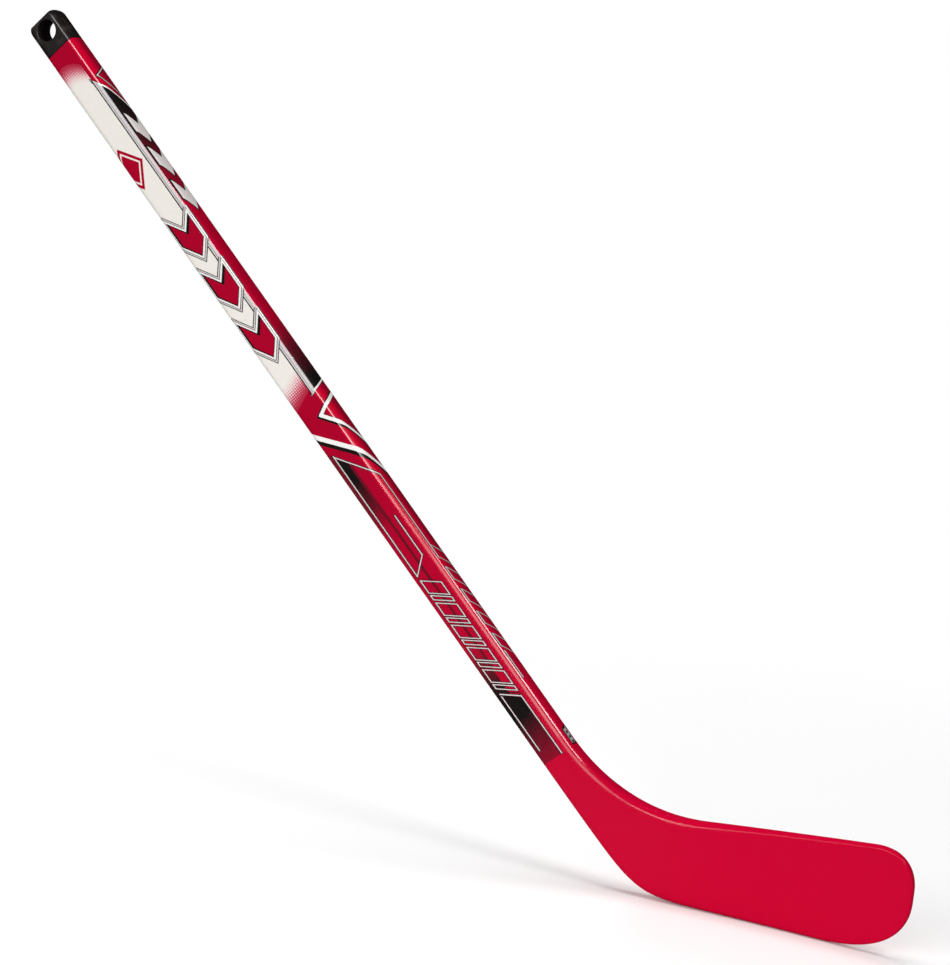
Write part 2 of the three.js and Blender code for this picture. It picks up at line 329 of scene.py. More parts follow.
# ---- Shader maths ------------------------------------------------------------------------------
class Number:
    """A number that varies over a surface: a socket with arithmetic."""

    def __init__(self, tree: "Nodes", socket: bpy.types.NodeSocket) -> None:
        """Keeps the tree that new nodes go in, and the socket."""
        self.tree = tree
        self.socket = socket

    def math(self, operation: str, *others: "Number | float") -> "Number":
        """One Math node on this number and the others."""
        inputs = dict(enumerate([self, *others]))
        return self.tree.number("ShaderNodeMath", {"operation": operation}, inputs)

    def __add__(self, other: "Number | float") -> "Number":
        """Sum."""
        return self.math("ADD", other)

    __radd__ = __add__

    def __sub__(self, other: "Number | float") -> "Number":
        """Difference."""
        return self.math("SUBTRACT", other)

    def __rsub__(self, other: float) -> "Number":
        """Difference from a plain number."""
        return self.tree.number("ShaderNodeMath", {"operation": "SUBTRACT"}, {0: other, 1: self})

    def __mul__(self, other: "Number | float") -> "Number":
        """Product."""
        return self.math("MULTIPLY", other)

    __rmul__ = __mul__

    def __truediv__(self, other: "Number | float") -> "Number":
        """Quotient."""
        return self.math("DIVIDE", other)

    def __abs__(self) -> "Number":
        """Size without its sign."""
        return self.math("ABSOLUTE")

    def least(self, other: "Number | float") -> "Number":
        """The smaller of the two."""
        return self.math("MINIMUM", other)

    def most(self, other: "Number | float") -> "Number":
        """The larger of the two."""
        return self.math("MAXIMUM", other)

    def rise(self, low: float, high: float) -> "Number":
        """Smooth step from 0 at `low` to 1 at `high`.

        Args:
            low: Value below which the result is 0.
            high: Value above which it is 1.

        Returns:
            The number between 0 and 1.
        """
        settings = {"interpolation_type": "SMOOTHSTEP"}
        inputs = {"Value": self, "From Min": low, "From Max": high}
        return self.tree.number("ShaderNodeMapRange", settings, inputs)

    def ramp(self, stops: Stops) -> bpy.types.NodeSocket:
        """Colour of this number, from stops of (position, colour) between 0 and 1."""
        node = self.tree.add("ShaderNodeValToRGB", {"stops": stops}, {"Fac": self})
        return node.outputs["Color"]


class Nodes:
    """A node tree and the one method that adds to it."""

    def __init__(self, tree: bpy.types.NodeTree) -> None:
        """Keeps the tree's nodes and links."""
        self.nodes = tree.nodes
        self.links = tree.links

    def add(self, kind: str, settings: dict | None = None,
            inputs: dict | None = None) -> bpy.types.Node:
        """Adds a node: its settings first, a ramp's stops among them, then its sockets.

        Args:
            kind: The node's type.
            settings: Attribute values; "stops" holds a ramp's (position, colour) pairs.
            inputs: Socket name or number to a plain value, a Number or a socket.

        Returns:
            The new node.
        """
        node = self.nodes.new(kind)
        settings = dict(settings or {})
        for index, (position, colour) in enumerate(settings.pop("stops", ())):
            elements = node.color_ramp.elements
            element = elements[index] if index < 2 else elements.new(position)
            element.position = position
            element.color = (*colour, 1.0)
        for key, value in settings.items():
            setattr(node, key, value)
        for key, value in (inputs or {}).items():
            if isinstance(value, Number):
                self.links.new(value.socket, node.inputs[key])
            elif isinstance(value, bpy.types.NodeSocket):
                self.links.new(value, node.inputs[key])
            else:
                node.inputs[key].default_value = value
        return node

    def number(self, kind: str, settings: dict | None = None, inputs: dict | None = None,
               output: int | str = 0) -> Number:
        """Adds a node and wraps one of its outputs.

        Args:
            kind: The node's type.
            settings: Attribute values, as for `add`.
            inputs: Socket values, as for `add`.
            output: The name or number of the output.

        Returns:
            The output as a Number.
        """
        return Number(self, self.add(kind, settings, inputs).outputs[output])


class Tree(Nodes):
    """A material's node tree, with its Principled shader."""

    def __init__(self, name: str, uniform: dict[str, float | tuple]) -> None:
        """Makes the material and sets the shader's uniform sockets.

        Args:
            name: The material's name.
            uniform: Socket names and their values.
        """
        self.material = bpy.data.materials.new(name)
        self.material.use_nodes = True
        super().__init__(self.material.node_tree)
        self.shader = next(n for n in self.nodes if n.type == "BSDF_PRINCIPLED")
        for socket, value in uniform.items():
            self.shader.inputs[socket].default_value = value

    def blend(self, under: Paint, over: Paint, mask: Number) -> bpy.types.NodeSocket:
        """Colour `over` laid on `under` where the mask is 1.

        Args:
            under: The colour so far.
            over: The colour laid on it.
            mask: Where it is laid.

        Returns:
            The mixed colour's socket.
        """
        low, high = [(*c, 1.0) if isinstance(c, tuple) else c for c in (under, over)]
        node = self.add("ShaderNodeMix", {"data_type": "RGBA"}, {0: mask, 6: low, 7: high})
        return node.outputs[2]

    def noise(self, place: bpy.types.NodeSocket, scale: float, detail: float = 3.0) -> Number:
        """Soft noise between 0 and 1, `scale` to the metre."""
        inputs = {"Vector": place, "Scale": scale, "Detail": detail}
        return self.number("ShaderNodeTexNoise", {}, inputs)

    def object_place(self) -> bpy.types.NodeSocket:
        """Object coordinates, in metres of the stick's frame."""
        return self.add("ShaderNodeTexCoord").outputs["Object"]

    def axes(self, place: bpy.types.NodeSocket) -> tuple[Number, Number, Number]:
        """The three coordinates of a point as numbers."""
        split = self.add("ShaderNodeSeparateXYZ", {}, {"Vector": place})
        return tuple(Number(self, output) for output in split.outputs)

    def unrolled_mm(self) -> tuple[Number, Number]:
        """The UV map's distances along and around, in millimetres.

        Returns:
            The two distances.
        """
        uv = self.add("ShaderNodeUVMap", {"uv_map": UNROLLED}).outputs["UV"]
        along, around, _ = self.axes(uv)
        return along * (1.0 / MM), around * (1.0 / MM)

    def feed(self, socket: str, value: Number | bpy.types.NodeSocket) -> None:
        """Links a varying value into the shader."""
        source = value.socket if isinstance(value, Number) else value
        self.links.new(source, self.shader.inputs[socket])

    def bump(self, height: Number, distance: float, strength: float) -> None:
        """Feeds the shader's normal from a height, `distance` metres high."""
        inputs = {"Height": height, "Distance": distance, "Strength": strength}
        self.feed("Normal", self.add("ShaderNodeBump", {}, inputs).outputs["Normal"])


# ---- The shaft's print -------------------------------------------------------------------------
@dataclass(frozen=True)
class Inks:
    """The colours that several graphics of the print share."""

    red: Colour = srgb("aa0028")
    lower_red: Colour = srgb("be002d")
    # The next ink is painted light: a brighter red for the narrow face's strip beside the forehand
    # arris.
    painted_light_red: Colour = srgb("c4002c")
    cream: Colour = srgb("efebe4")
    white: Colour = srgb("f6f4f1")
    grey: Colour = srgb("9c9798")
    black: Colour = srgb("191515")
    maroon: Colour = srgb("651020")
    wine: Colour = srgb("8b0a26")


INKS = Inks()


class Print:
    """The shaft's printed pattern, drawn on the unrolled surface in millimetres.

    `height` is 0 in the middle of a wide face and NARROW_MM in the middle of the toe-side narrow
    face. The print runs on over that face to its back edge, ARRIS_MM from the forehand's middle,
    where the back face's own copy begins.
    """

    NARROW_MM = 19.1
    ARRIS_MM = 27.0
    EDGE_MM = 0.14
    MOTTLE_SCALE = 420.0

    def __init__(self, tree: Tree) -> None:
        """Reads the UV map and gives the back face its own copy of the heights.

        Args:
            tree: The material's tree.
        """
        self.tree = tree
        self.along, around = tree.unrolled_mm()
        behind = around.math("GREATER_THAN", self.ARRIS_MM)
        self.height = around + behind * (2.0 * self.NARROW_MM - around * 2.0)
        spot = tree.add("ShaderNodeCombineXYZ", {}, {"X": self.along, "Y": self.height, "Z": 1.0})
        self.spot = spot.outputs["Vector"]
        self.place = tree.object_place()
        self.mottle = tree.noise(self.place, self.MOTTLE_SCALE, 4.0)

    def line(self, normal: Pair, through: Pair) -> Number:
        """Distance from the line through a point, as one dot product with (along, height, 1).

        Args:
            normal: Unit vector across the line.
            through: A point of the line.

        Returns:
            The signed distance in millimetres.
        """
        offset = -(normal[0] * through[0] + normal[1] * through[1])
        inputs = {0: self.spot, 1: (*normal, offset)}
        settings = {"operation": "DOT_PRODUCT"}
        return self.tree.number("ShaderNodeVectorMath", settings, inputs, "Value")

    def beside(self, segment: Segment) -> Number:
        """Distance to the left of a segment's line, seen from its start to its end.

        Args:
            segment: Its start and its end.

        Returns:
            The signed distance in millimetres.
        """
        (x, y), (end_x, end_y) = segment
        length = math.hypot(end_x - x, end_y - y)
        return self.line((-(end_y - y) / length, (end_x - x) / length), (x, y))

    def stroke(self, segment: Segment) -> Number:
        """Distance from a straight segment, with square ends.

        Args:
            segment: Its start and its end.

        Returns:
            The distance from its middle line, in millimetres.
        """
        (x, y), (end_x, end_y) = segment
        length = math.hypot(end_x - x, end_y - y)
        middle = ((x + end_x) / 2.0, (y + end_y) / 2.0)
        run = self.line(((end_x - x) / length, (end_y - y) / length), middle)
        return abs(self.beside(segment)).most(abs(run) - length / 2.0)

    def strokes(self, segments: Iterable[Segment]) -> Number:
        """Distance from the nearest of several segments.

        Args:
            segments: The segments, each with its start and its end.

        Returns:
            The smallest of the distances, in millimetres.
        """
        first, *others = [self.stroke(segment) for segment in segments]
        for other in others:
            first = first.least(other)
        return first

    def path(self, points: Path) -> Number:
        """Distance from a line of several straight stretches."""
        return self.strokes(zip(points, points[1:]))

    def within(self, distance: Number, reach: float = 0.0, soft: float = EDGE_MM) -> Number:
        """Mask that is 1 where the distance is under `reach`, with an edge `soft` each way."""
        return 1.0 - distance.rise(reach - soft, reach + soft)

    def span(self, value: Number, low: float, high: float) -> Number:
        """Mask that is 1 between two values."""
        return self.within(abs(value - (low + high) / 2.0), (high - low) / 2.0)

    def layers(self, under: Paint, *inks: tuple[Number, Colour, float]) -> Paint:
        """Lays each ink in turn where its distance is under its reach.

        Args:
            under: The colour so far.
            inks: A distance, a colour and a reach in millimetres for each layer.

        Returns:
            The colour with the layers on it.
        """
        for distance, ink, reach in inks:
            under = self.tree.blend(under, ink, self.within(distance, reach))
        return under


@dataclass(frozen=True)
class Chevrons:
    """A row of chevrons that point to the blade, in millimetres.

    Args:
        start: Where the row starts along the shaft.
        pitch: From one chevron to the next.
        middle: Height of the row's middle line.
        half: Half of a chevron's height.
        width: Its length along the shaft at any height.
        point: How far its point stands ahead of its tails.
        lean: How far it leans towards the blade for each millimetre of height.
        count: How many there are.
        gate: How steeply the distance grows past the row's two ends.
    """

    start: float
    pitch: float
    middle: float
    half: float
    width: float
    point: float
    lean: float = 0.0
    count: int = 3
    gate: float = 12.0

    def distance(self, art: Print) -> Number:
        """Signed distance, below 0 inside a chevron.

        The distance along is wrapped to one pitch, and the height's size bends it into a point.

        Args:
            art: The surface that it is drawn on.

        Returns:
            The distance in millimetres.
        """
        y = art.height - self.middle
        rise = abs(y)
        slope = self.point / self.half
        margin = (self.pitch - self.width - self.point) / 2.0
        x = art.along - y * self.lean - (self.start - margin)
        cell = x.math("WRAP", self.pitch, 0.0) - margin
        bent = cell + rise * slope - (self.point + self.width / 2.0)
        sides = (abs(bent) - self.width / 2.0) * math.cos(math.atan(slope))
        half_row = self.pitch * self.count / 2.0
        row = (abs(x - half_row) - half_row) * self.gate
        return sides.most(rise - self.half).most(row)


@dataclass(frozen=True)
class FrameRow:
    """Outlines of a row of slanted bars, in millimetres.

    Args:
        start: Where the row starts along the shaft, at height 0.
        middle: Height of the row's middle line.
        half: Half of the row's height.
        slim_half: Half the length of a slim bar after each broad one, or None for none.
        lean: How far the bars lean towards the blade for each millimetre of height.
        pitch: From one broad bar to the next.
        count: How many broad bars there are.
        broad: Middle of a broad bar from the middle of its pitch, and half of its length.
        slim: Middle of a slim bar from the middle of its pitch.
    """

    start: float
    middle: float
    half: float
    slim_half: float | None = None
    lean: float = 0.79
    pitch: float = 18.0
    count: int = 5
    broad: Pair = (-3.0, 5.0)
    slim: float = 5.7

    def distance(self, art: Print) -> Number:
        """Distance from the nearest outline, in millimetres along the shaft.

        Args:
            art: The surface that it is drawn on.

        Returns:
            The distance in millimetres.
        """
        x = art.along - art.height * self.lean - self.start
        cell = x.math("WRAP", self.pitch, 0.0) - self.pitch / 2.0
        bars = abs(cell - self.broad[0]) - self.broad[1]
        if self.slim_half is not None:
            bars = bars.least(abs(cell - self.slim) - self.slim_half)
        half_row = self.pitch * self.count / 2.0
        ends = abs(x - half_row) - half_row
        return abs(bars.most(abs(art.height - self.middle) - self.half).most(ends))


@dataclass(frozen=True)
class Ground:
    """Red that brightens towards the blade, with a painted highlight strip by the forehand arris
    and painted shade on the toe-side narrow face.
    """

    brighten: Pair = (330.0, 640.0)
    lit_strip_heights: Pair = (8.0, 16.5)
    lit_strip_end: Pair = (560.0, 60.0)
    painted_shade_heights: Pair = (15.0, 22.5)
    painted_shade_end: Pair = (520.0, 90.0)

    def lay(self, art: Print) -> Paint:
        """The first colour of the whole surface.

        Args:
            art: The surface that it is drawn on.

        Returns:
            The colour with this graphic on it.
        """
        red = art.tree.blend(INKS.red, INKS.lower_red, art.along.rise(*self.brighten))
        # Painted highlight: a brighter red strip over the corner and the near part of the narrow
        # face, where light falls.
        edge = art.span(art.height, *self.lit_strip_heights) * art.within(art.along, *self.lit_strip_end)
        red = art.tree.blend(red, INKS.painted_light_red, edge)
        # Painted shade: the back part of the toe-side narrow face darkens to wine, as if it turned
        # away from the light.
        shade = art.height.rise(*self.painted_shade_heights) * art.within(art.along, *self.painted_shade_end)
        return art.tree.blend(red, INKS.wine, shade)


@dataclass(frozen=True)
class CreamPanel:
    """Off-white panel of the wide face between two dotted fades, with a red diamond on it."""

    heights: Pair = (-13.4, 6.2)
    start: float = 38.5
    start_fade: float = 17.0
    start_bend: Pair = (0.6, 0.045)
    end: float = 325.0
    end_fade: float = 19.0
    end_lean: float = 0.35
    dot_pitch: float = 2.3
    dot_depth: float = 0.36
    dot_edge: float = 0.14
    dot_share: float = 0.53
    even_share: float = 0.42
    pinks: Stops = ((0.0, INKS.red), (0.3, srgb("c9546b")), (0.6, srgb("e5a6ae")),
                    (1.0, INKS.cream))
    diamond_middle: Pair = (124.0, -8.0)
    diamond_half: Pair = (17.5, 11.6)
    diamond_rim: float = 2.0
    diamond_core: float = 3.1

    def lay(self, art: Print, under: Paint) -> Paint:
        """The panel over the ground: the fades run through two pinks to the off-white.

        Args:
            art: The surface that it is drawn on.
            under: The colour so far.

        Returns:
            The colour with this graphic on it.
        """
        bend = art.height * (self.start_bend[0] + art.height * self.start_bend[1])
        fade_in = (art.along - bend - self.start) / self.start_fade
        fade_out = (self.end - (art.along + art.height * self.end_lean)) / self.end_fade
        cover = self.halftone(art, fade_in).least(self.halftone(art, fade_out))
        low, high = self.heights
        face = art.within(art.height, high) * art.within(low - art.height)
        colour = art.tree.blend(under, cover.ramp(self.pinks), cover.rise(0.0, 0.05) * face)
        return art.tree.blend(colour, INKS.red, self.diamond(art) * face)

    def halftone(self, art: Print, fade: Number) -> Number:
        """Mask of a fade, partly in dots: two crossed cosines are the dots' screen.

        Args:
            art: The surface that it is drawn on.
            fade: A number that goes from 0 to 1 over the fade.

        Returns:
            The mask, from 0 to 1.
        """
        turn = 2.0 * math.pi / self.dot_pitch / math.sqrt(2.0)
        wave_a = (art.along * turn + art.height * turn).math("COSINE")
        wave_b = (art.along * turn - art.height * turn).math("COSINE")
        screen = (wave_a * wave_b) * self.dot_depth + 0.5
        dots = (fade - screen).rise(-self.dot_edge, self.dot_edge)
        even = fade.most(0.0).least(1.0) * self.even_share
        rest = 1.0 - self.even_share - self.dot_share
        return (even + dots * self.dot_share + rest) * fade.rise(-0.03, 0.03)

    def diamond(self, art: Print) -> Number:
        """Mask of a diamond in a diamond outline, from the sum of the scaled distances each way.

        Args:
            art: The surface that it is drawn on.

        Returns:
            The mask, from 0 to 1.
        """
        x = abs(art.along - self.diamond_middle[0])
        y = abs(art.height - self.diamond_middle[1])
        length, height = self.diamond_half
        slant = length * height / math.hypot(length, height)
        outside = (x / length + y / height - 1.0) * slant
        half_rim = self.diamond_rim / 2.0
        rim = art.within(abs(outside + half_rim), half_rim)
        return rim.most(art.within(outside, -self.diamond_core))


@dataclass(frozen=True)
class DarkPanel:
    """Long panel on the toe-side edge: black at its ends and red between, edged with stripes."""

    start: Segment = ((58.5, 6.0), (89.0, 27.0))
    end: Segment = ((321.0, 20.0), (326.5, 6.0))
    foot: float = 5.9
    length: float = 340.0
    mottle: float = 14.0
    fade: Stops = ((0.0, INKS.black), (0.25, INKS.black), (0.33, srgb("3c1219")),
                   (0.41, srgb("7a0d22")), (0.50, INKS.red), (0.78, INKS.red),
                   (0.855, srgb("5a1020")), (0.925, INKS.black))
    marks: Chevrons = Chevrons(start=91.0, pitch=29.0, middle=Print.NARROW_MM, half=7.3,
                               width=15.0, point=10.0)
    mark_ink: Colour = srgb("d9d3d1")
    mark_shadow: float = 1.3
    stripe_ink: Colour = srgb("ddd6d6")
    stripe_top: float = 9.3
    grey_stripe: Pair = (7.3, 7.9)
    low_line: Pair = (5.6, 6.5)

    def lay(self, art: Print, under: Paint) -> Paint:
        """The panel, its three marks, the slim lines at its ends and the stripes at its foot.

        Args:
            art: The surface that it is drawn on.
            under: The colour so far.

        Returns:
            The colour with this graphic on it.
        """
        start, end = art.beside(self.start), art.beside(self.end)
        outside = start.most(end).most(self.foot - art.height)
        panel = art.within(outside)
        share = (art.along + art.mottle * self.mottle - self.mottle / 2.0) / self.length
        colour = art.tree.blend(under, share.ramp(self.fade), panel)
        marks = self.marks.distance(art)
        colour = art.layers(colour, (marks, INKS.black, self.mark_shadow),
                            (marks, self.mark_ink, 0.2))
        ends = abs(start).least(abs(end))
        for ink, reach, past in ((INKS.black, 1.5, 0.9), (INKS.white, 0.75, 0.4)):
            mask = art.within(ends, reach) * art.within(outside, past)
            colour = art.tree.blend(colour, ink, mask)
        stripes = panel * art.within(art.height, self.stripe_top)
        colour = art.tree.blend(colour, self.stripe_ink, stripes)
        grey = stripes * art.span(art.height, *self.grey_stripe)
        colour = art.tree.blend(colour, INKS.grey, grey)
        low = art.within(outside, 0.35) * art.span(art.height, *self.low_line)
        return art.tree.blend(colour, INKS.black, low)


@dataclass(frozen=True)
class Blocks:
    """Three large red chevrons, with a black shadow inside white and grey outlines."""

    whole: Chevrons = Chevrons(start=171.5, pitch=43.0, middle=-1.2, half=8.9, width=20.0,
                               point=12.0, lean=0.28)
    filled: Chevrons = Chevrons(start=173.4, pitch=43.0, middle=-0.5, half=8.6, width=18.6,
                                point=12.0, lean=0.28)
    outlines: tuple[tuple[Colour, float], ...] = (
        (srgb("3f3a39"), 3.3), (srgb("d5d0ce"), 2.65), (srgb("45403f"), 1.85),
        (INKS.white, 1.35), (INKS.black, 0.15))
    inset: float = 0.35

    def lay(self, art: Print, under: Paint) -> Paint:
        """Outlines from the widest in, then the red of the chevrons.

        Args:
            art: The surface that it is drawn on.
            under: The colour so far.

        Returns:
            The colour with this graphic on it.
        """
        whole, filled = self.whole.distance(art), self.filled.distance(art)
        colour = art.layers(under, *((whole, ink, reach) for ink, reach in self.outlines))
        return art.layers(colour, (filled.most(whole), INKS.red, -self.inset))


@dataclass(frozen=True)
class Slashes:
    """A white V and a white slash with black shadows, and a slim V on the narrow face."""

    vee: Path = ((329.4, 27.5), (341.0, 2.6), (374.0, 27.5))
    vee_shade: Path = ((328.0, 27.5), (340.9, 0.4), (377.2, 27.5))
    slash: Path = ((346.0, -13.5), (373.5, 9.3), (399.0, 27.5))
    slash_shade: Path = ((350.0, -13.5), (376.0, 8.0), (403.0, 27.5))
    tick: Path = ((49.5, 27.5), (57.5, 11.8), (80.5, 27.5))
    tick_ink: Colour = srgb("cfc8c6")

    def lay(self, art: Print, under: Paint) -> Paint:
        """Shadows first, then the outlines, then the white.

        Args:
            art: The surface that it is drawn on.
            under: The colour so far.

        Returns:
            The colour with this graphic on it.
        """
        vee, tick = art.path(self.vee), art.path(self.tick)
        return art.layers(
            under, (art.path(self.vee_shade), INKS.black, 1.0),
            (art.path(self.slash_shade), INKS.black, 1.5), (vee, INKS.black, 1.75),
            (vee, INKS.white, 1.25), (art.path(self.slash), INKS.white, 1.55),
            (tick, INKS.black, 1.2), (tick, self.tick_ink, 0.4))


@dataclass(frozen=True)
class LowerBand:
    """Dark band of the lower shaft: a wedge that fades to red, a stripe, and a dark end."""

    mottle: float = 10.0
    wedge_start: float = 372.0
    wedge_length: float = 70.0
    wedge_fade: Stops = ((0.0, INKS.black), (0.28, INKS.black), (0.6, INKS.maroon), (1.0, INKS.red))
    wedge_side: Segment = ((369.0, -7.4), (397.5, 13.3))
    wedge_middle: float = -4.2
    wedge_half: float = 3.2
    fade_out: Pair = (425.0, 17.0)
    low_heights: Pair = (-12.6, -8.4)
    low_reach: Pair = (366.0, 430.0)
    low_ink: Colour = srgb("5a1a24")
    low_share: float = 0.75
    stripe_heights: Pair = (-1.7, 0.4)
    stripe_reach: Pair = (381.0, 545.0)
    stripe_ink: Colour = srgb("6b1021")
    tail_start: float = 520.0
    tail_length: float = 100.0
    tail_fade: Stops = ((0.0, INKS.lower_red), (0.16, srgb("8a0f24")), (0.36, srgb("30161a")),
                        (0.5, INKS.black), (0.63, INKS.black), (0.78, srgb("5c1120")),
                        (1.0, INKS.wine))
    tail_rise: Pair = (518.0, 540.0)
    tail_low: float = -1.2
    tail_top: float = 4.6
    tail_side: Segment = ((562.0, -7.4), (571.5, 4.6))
    tail_end: Segment = ((617.6, 5.0), (616.0, -12.0))

    def lay(self, art: Print, under: Paint) -> Paint:
        """The wedge and the strip below it, the stripe, and the dark end.

        Args:
            art: The surface that it is drawn on.
            under: The colour so far.

        Returns:
            The colour with this graphic on it.
        """
        tree, place = art.tree, art.along + (art.mottle * self.mottle - self.mottle / 2.0)
        fading = art.within(art.along, *self.fade_out)
        deep = abs(art.height - self.wedge_middle) - self.wedge_half
        wedge = art.within(art.beside(self.wedge_side).most(deep)) * fading
        shade = ((place - self.wedge_start) / self.wedge_length).ramp(self.wedge_fade)
        colour = tree.blend(under, shade, wedge)
        low = art.span(art.height, *self.low_heights) * art.span(art.along, *self.low_reach)
        colour = tree.blend(colour, self.low_ink, low * fading * self.low_share)
        reach = art.span(art.along, *self.stripe_reach)
        stripe = art.span(art.height, *self.stripe_heights) * reach
        colour = tree.blend(colour, self.stripe_ink, stripe)
        ahead = art.beside(self.tail_side).rise(0.1, -0.1)
        full = art.within(art.height, self.tail_top) * ahead
        part = art.within(art.height, self.tail_low).most(full)
        zone = part * art.within(art.beside(self.tail_end)) * art.along.rise(*self.tail_rise)
        tail = ((place - self.tail_start) / self.tail_length).ramp(self.tail_fade)
        return tree.blend(colour, tail, zone)


@dataclass(frozen=True)
class FineLines:
    """Slim white outlines with dark edges, and two rows of slanted open frames between them."""

    lines: tuple[Segment, ...] = (
        ((368.6, -7.4), (397.3, 13.4)), ((397.0, 13.4), (459.0, 13.4)),
        ((368.0, -7.4), (466.5, -7.4)), ((425.5, 4.6), (457.5, 4.6)),
        ((457.5, 4.6), (466.7, -7.4)), ((571.3, 4.6), (617.2, 4.8)),
        ((564.0, -7.4), (607.0, -7.3)), ((571.5, 4.6), (562.0, -7.4)),
        ((541.0, 13.4), (562.0, 13.4)))
    low_row: FrameRow = FrameRow(start=475.0, middle=-1.4, half=6.0, slim_half=1.7)
    high_row: FrameRow = FrameRow(start=443.4, middle=19.7, half=6.3)
    reach: float = 0.95
    section: Stops = ((0.0, srgb("dcd5d3")), (0.17, srgb("cdc5c3")), (0.23, srgb("2a1719")),
                      (0.5, srgb("2a1216")))
    section_mm: float = 2.0

    def lay(self, art: Print, under: Paint) -> Paint:
        """Every line has the same section: light in the middle and dark at its edges.

        Args:
            art: The surface that it is drawn on.
            under: The colour so far.

        Returns:
            The colour with this graphic on it.
        """
        rows = self.low_row.distance(art).least(self.high_row.distance(art))
        nearest = art.strokes(self.lines).least(rows)
        ink = (nearest / self.section_mm).ramp(self.section)
        return art.tree.blend(under, ink, art.within(nearest, self.reach))


# ---- Finishes ----------------------------------------------------------------------------------
@dataclass(frozen=True)
class PrintedLacquer:
    """Finish of the wrap and blade: lacquered red with the printed pattern on the shaft."""

    rough: Pair = (0.42, 0.06)
    print_end: Pair = (607.5, 1.5)
    hosel_end: Pair = (690.0, 70.0)
    coats: Triple = (0.35, 0.55, 0.1)
    peel_scale: float = 900.0
    peel_depth: float = 0.000002

    def material(self) -> bpy.types.Material:
        """The pattern under a clear coat, thicker on the print and hosel, with a fine peel.

        Returns:
            The finished material.
        """
        tree = Tree("printed_lacquer", {"Specular IOR Level": 0.02, "Coat Roughness": 0.12,
                                        "Coat IOR": 1.8})
        art = Print(tree)
        colour = Ground().lay(art)
        for graphic in (CreamPanel(), DarkPanel(), Blocks(), Slashes(), LowerBand(), FineLines()):
            colour = graphic.lay(art, colour)
        tree.feed("Base Color", colour)
        tree.feed("Roughness", self.rough[0] + art.mottle * self.rough[1])
        on_print, on_hosel, everywhere = self.coats
        coat = (art.within(art.along, *self.print_end) * on_print
                + art.within(art.along, *self.hosel_end) * on_hosel)
        tree.feed("Coat Weight", coat + everywhere)
        tree.bump(tree.noise(art.place, self.peel_scale, 2.0), self.peel_depth, 0.5)
        return tree.material


@dataclass(frozen=True)
class MouldedPlastic:
    """Black satin plastic with a fine moulded grain and lighter, warmer patches at random."""

    colour: Colour = srgb("1b1616")
    warm_patch_colour: Colour = srgb("352a2c")
    patch_scale: float = 160.0
    grain_scale: float = 2600.0
    grain_depth: float = 0.00003

    def material(self) -> bpy.types.Material:
        """Grain in the bump, soft patches in the colour and the roughness.

        Returns:
            The finished material.
        """
        tree = Tree("moulded_plastic", {"Specular IOR Level": 0.3, "Coat Weight": 0.9,
                                        "Coat Roughness": 0.15})
        place = tree.object_place()
        patches = tree.noise(place, self.patch_scale, 5.0)
        # Lighter, warmer patches at random over the whole cap.
        tree.feed("Base Color", tree.blend(self.colour, self.warm_patch_colour, patches.rise(0.45, 0.75)))
        tree.feed("Roughness", 0.42 + patches * 0.16)
        tree.bump(tree.noise(place, self.grain_scale), self.grain_depth, 0.5)
        return tree.material


@dataclass(frozen=True)
class Laminate:
    """Dark glass-fibre laminate with a diagonal weave."""

    colour: Colour = srgb("232021")
    lit: Colour = srgb("3a3536")
    weave_turn: float = 2200.0
    weave_depth: float = 0.00008

    def material(self) -> bpy.types.Material:
        """Two crossed waves make the weave, and its raised threads are painted lighter as a painted
        highlight.

        Returns:
            The finished material.
        """
        tree = Tree("tube_laminate", {"Specular IOR Level": 0.4})
        x, _, z = tree.axes(tree.object_place())
        weave = (x * self.weave_turn).math("SINE") * (z * self.weave_turn).math("SINE")
        # Painted highlight: the colour turns lighter where the weave stands up, like the lit tops
        # of the threads.
        mask = weave.rise(-0.4, 0.4)
        tree.feed("Base Color", tree.blend(self.colour, self.lit, mask))
        tree.feed("Roughness", 0.4 + mask * 0.2)
        tree.bump(weave, self.weave_depth, 0.4)
        return tree.material


@dataclass(frozen=True)
class Cellular:
    """Foam or resin with small cells or specks."""

    name: str
    colour: Colour
    speck: Colour
    scale: float
    rough: float
    depth: float = 0.0002

    def material(self) -> bpy.types.Material:
        """Cells from a Voronoi pattern, in the colour and the bump.

        Returns:
            The finished material.
        """
        tree = Tree(self.name, {"Specular IOR Level": 0.3})
        inputs = {"Vector": tree.object_place(), "Scale": self.scale}
        cells = tree.number("ShaderNodeTexVoronoi", {}, inputs)
        mask = cells.rise(0.2, 0.8)
        tree.feed("Base Color", tree.blend(self.speck, self.colour, mask))
        tree.feed("Roughness", self.rough - mask * 0.1)
        tree.bump(cells, self.depth, 0.5)
        return tree.material


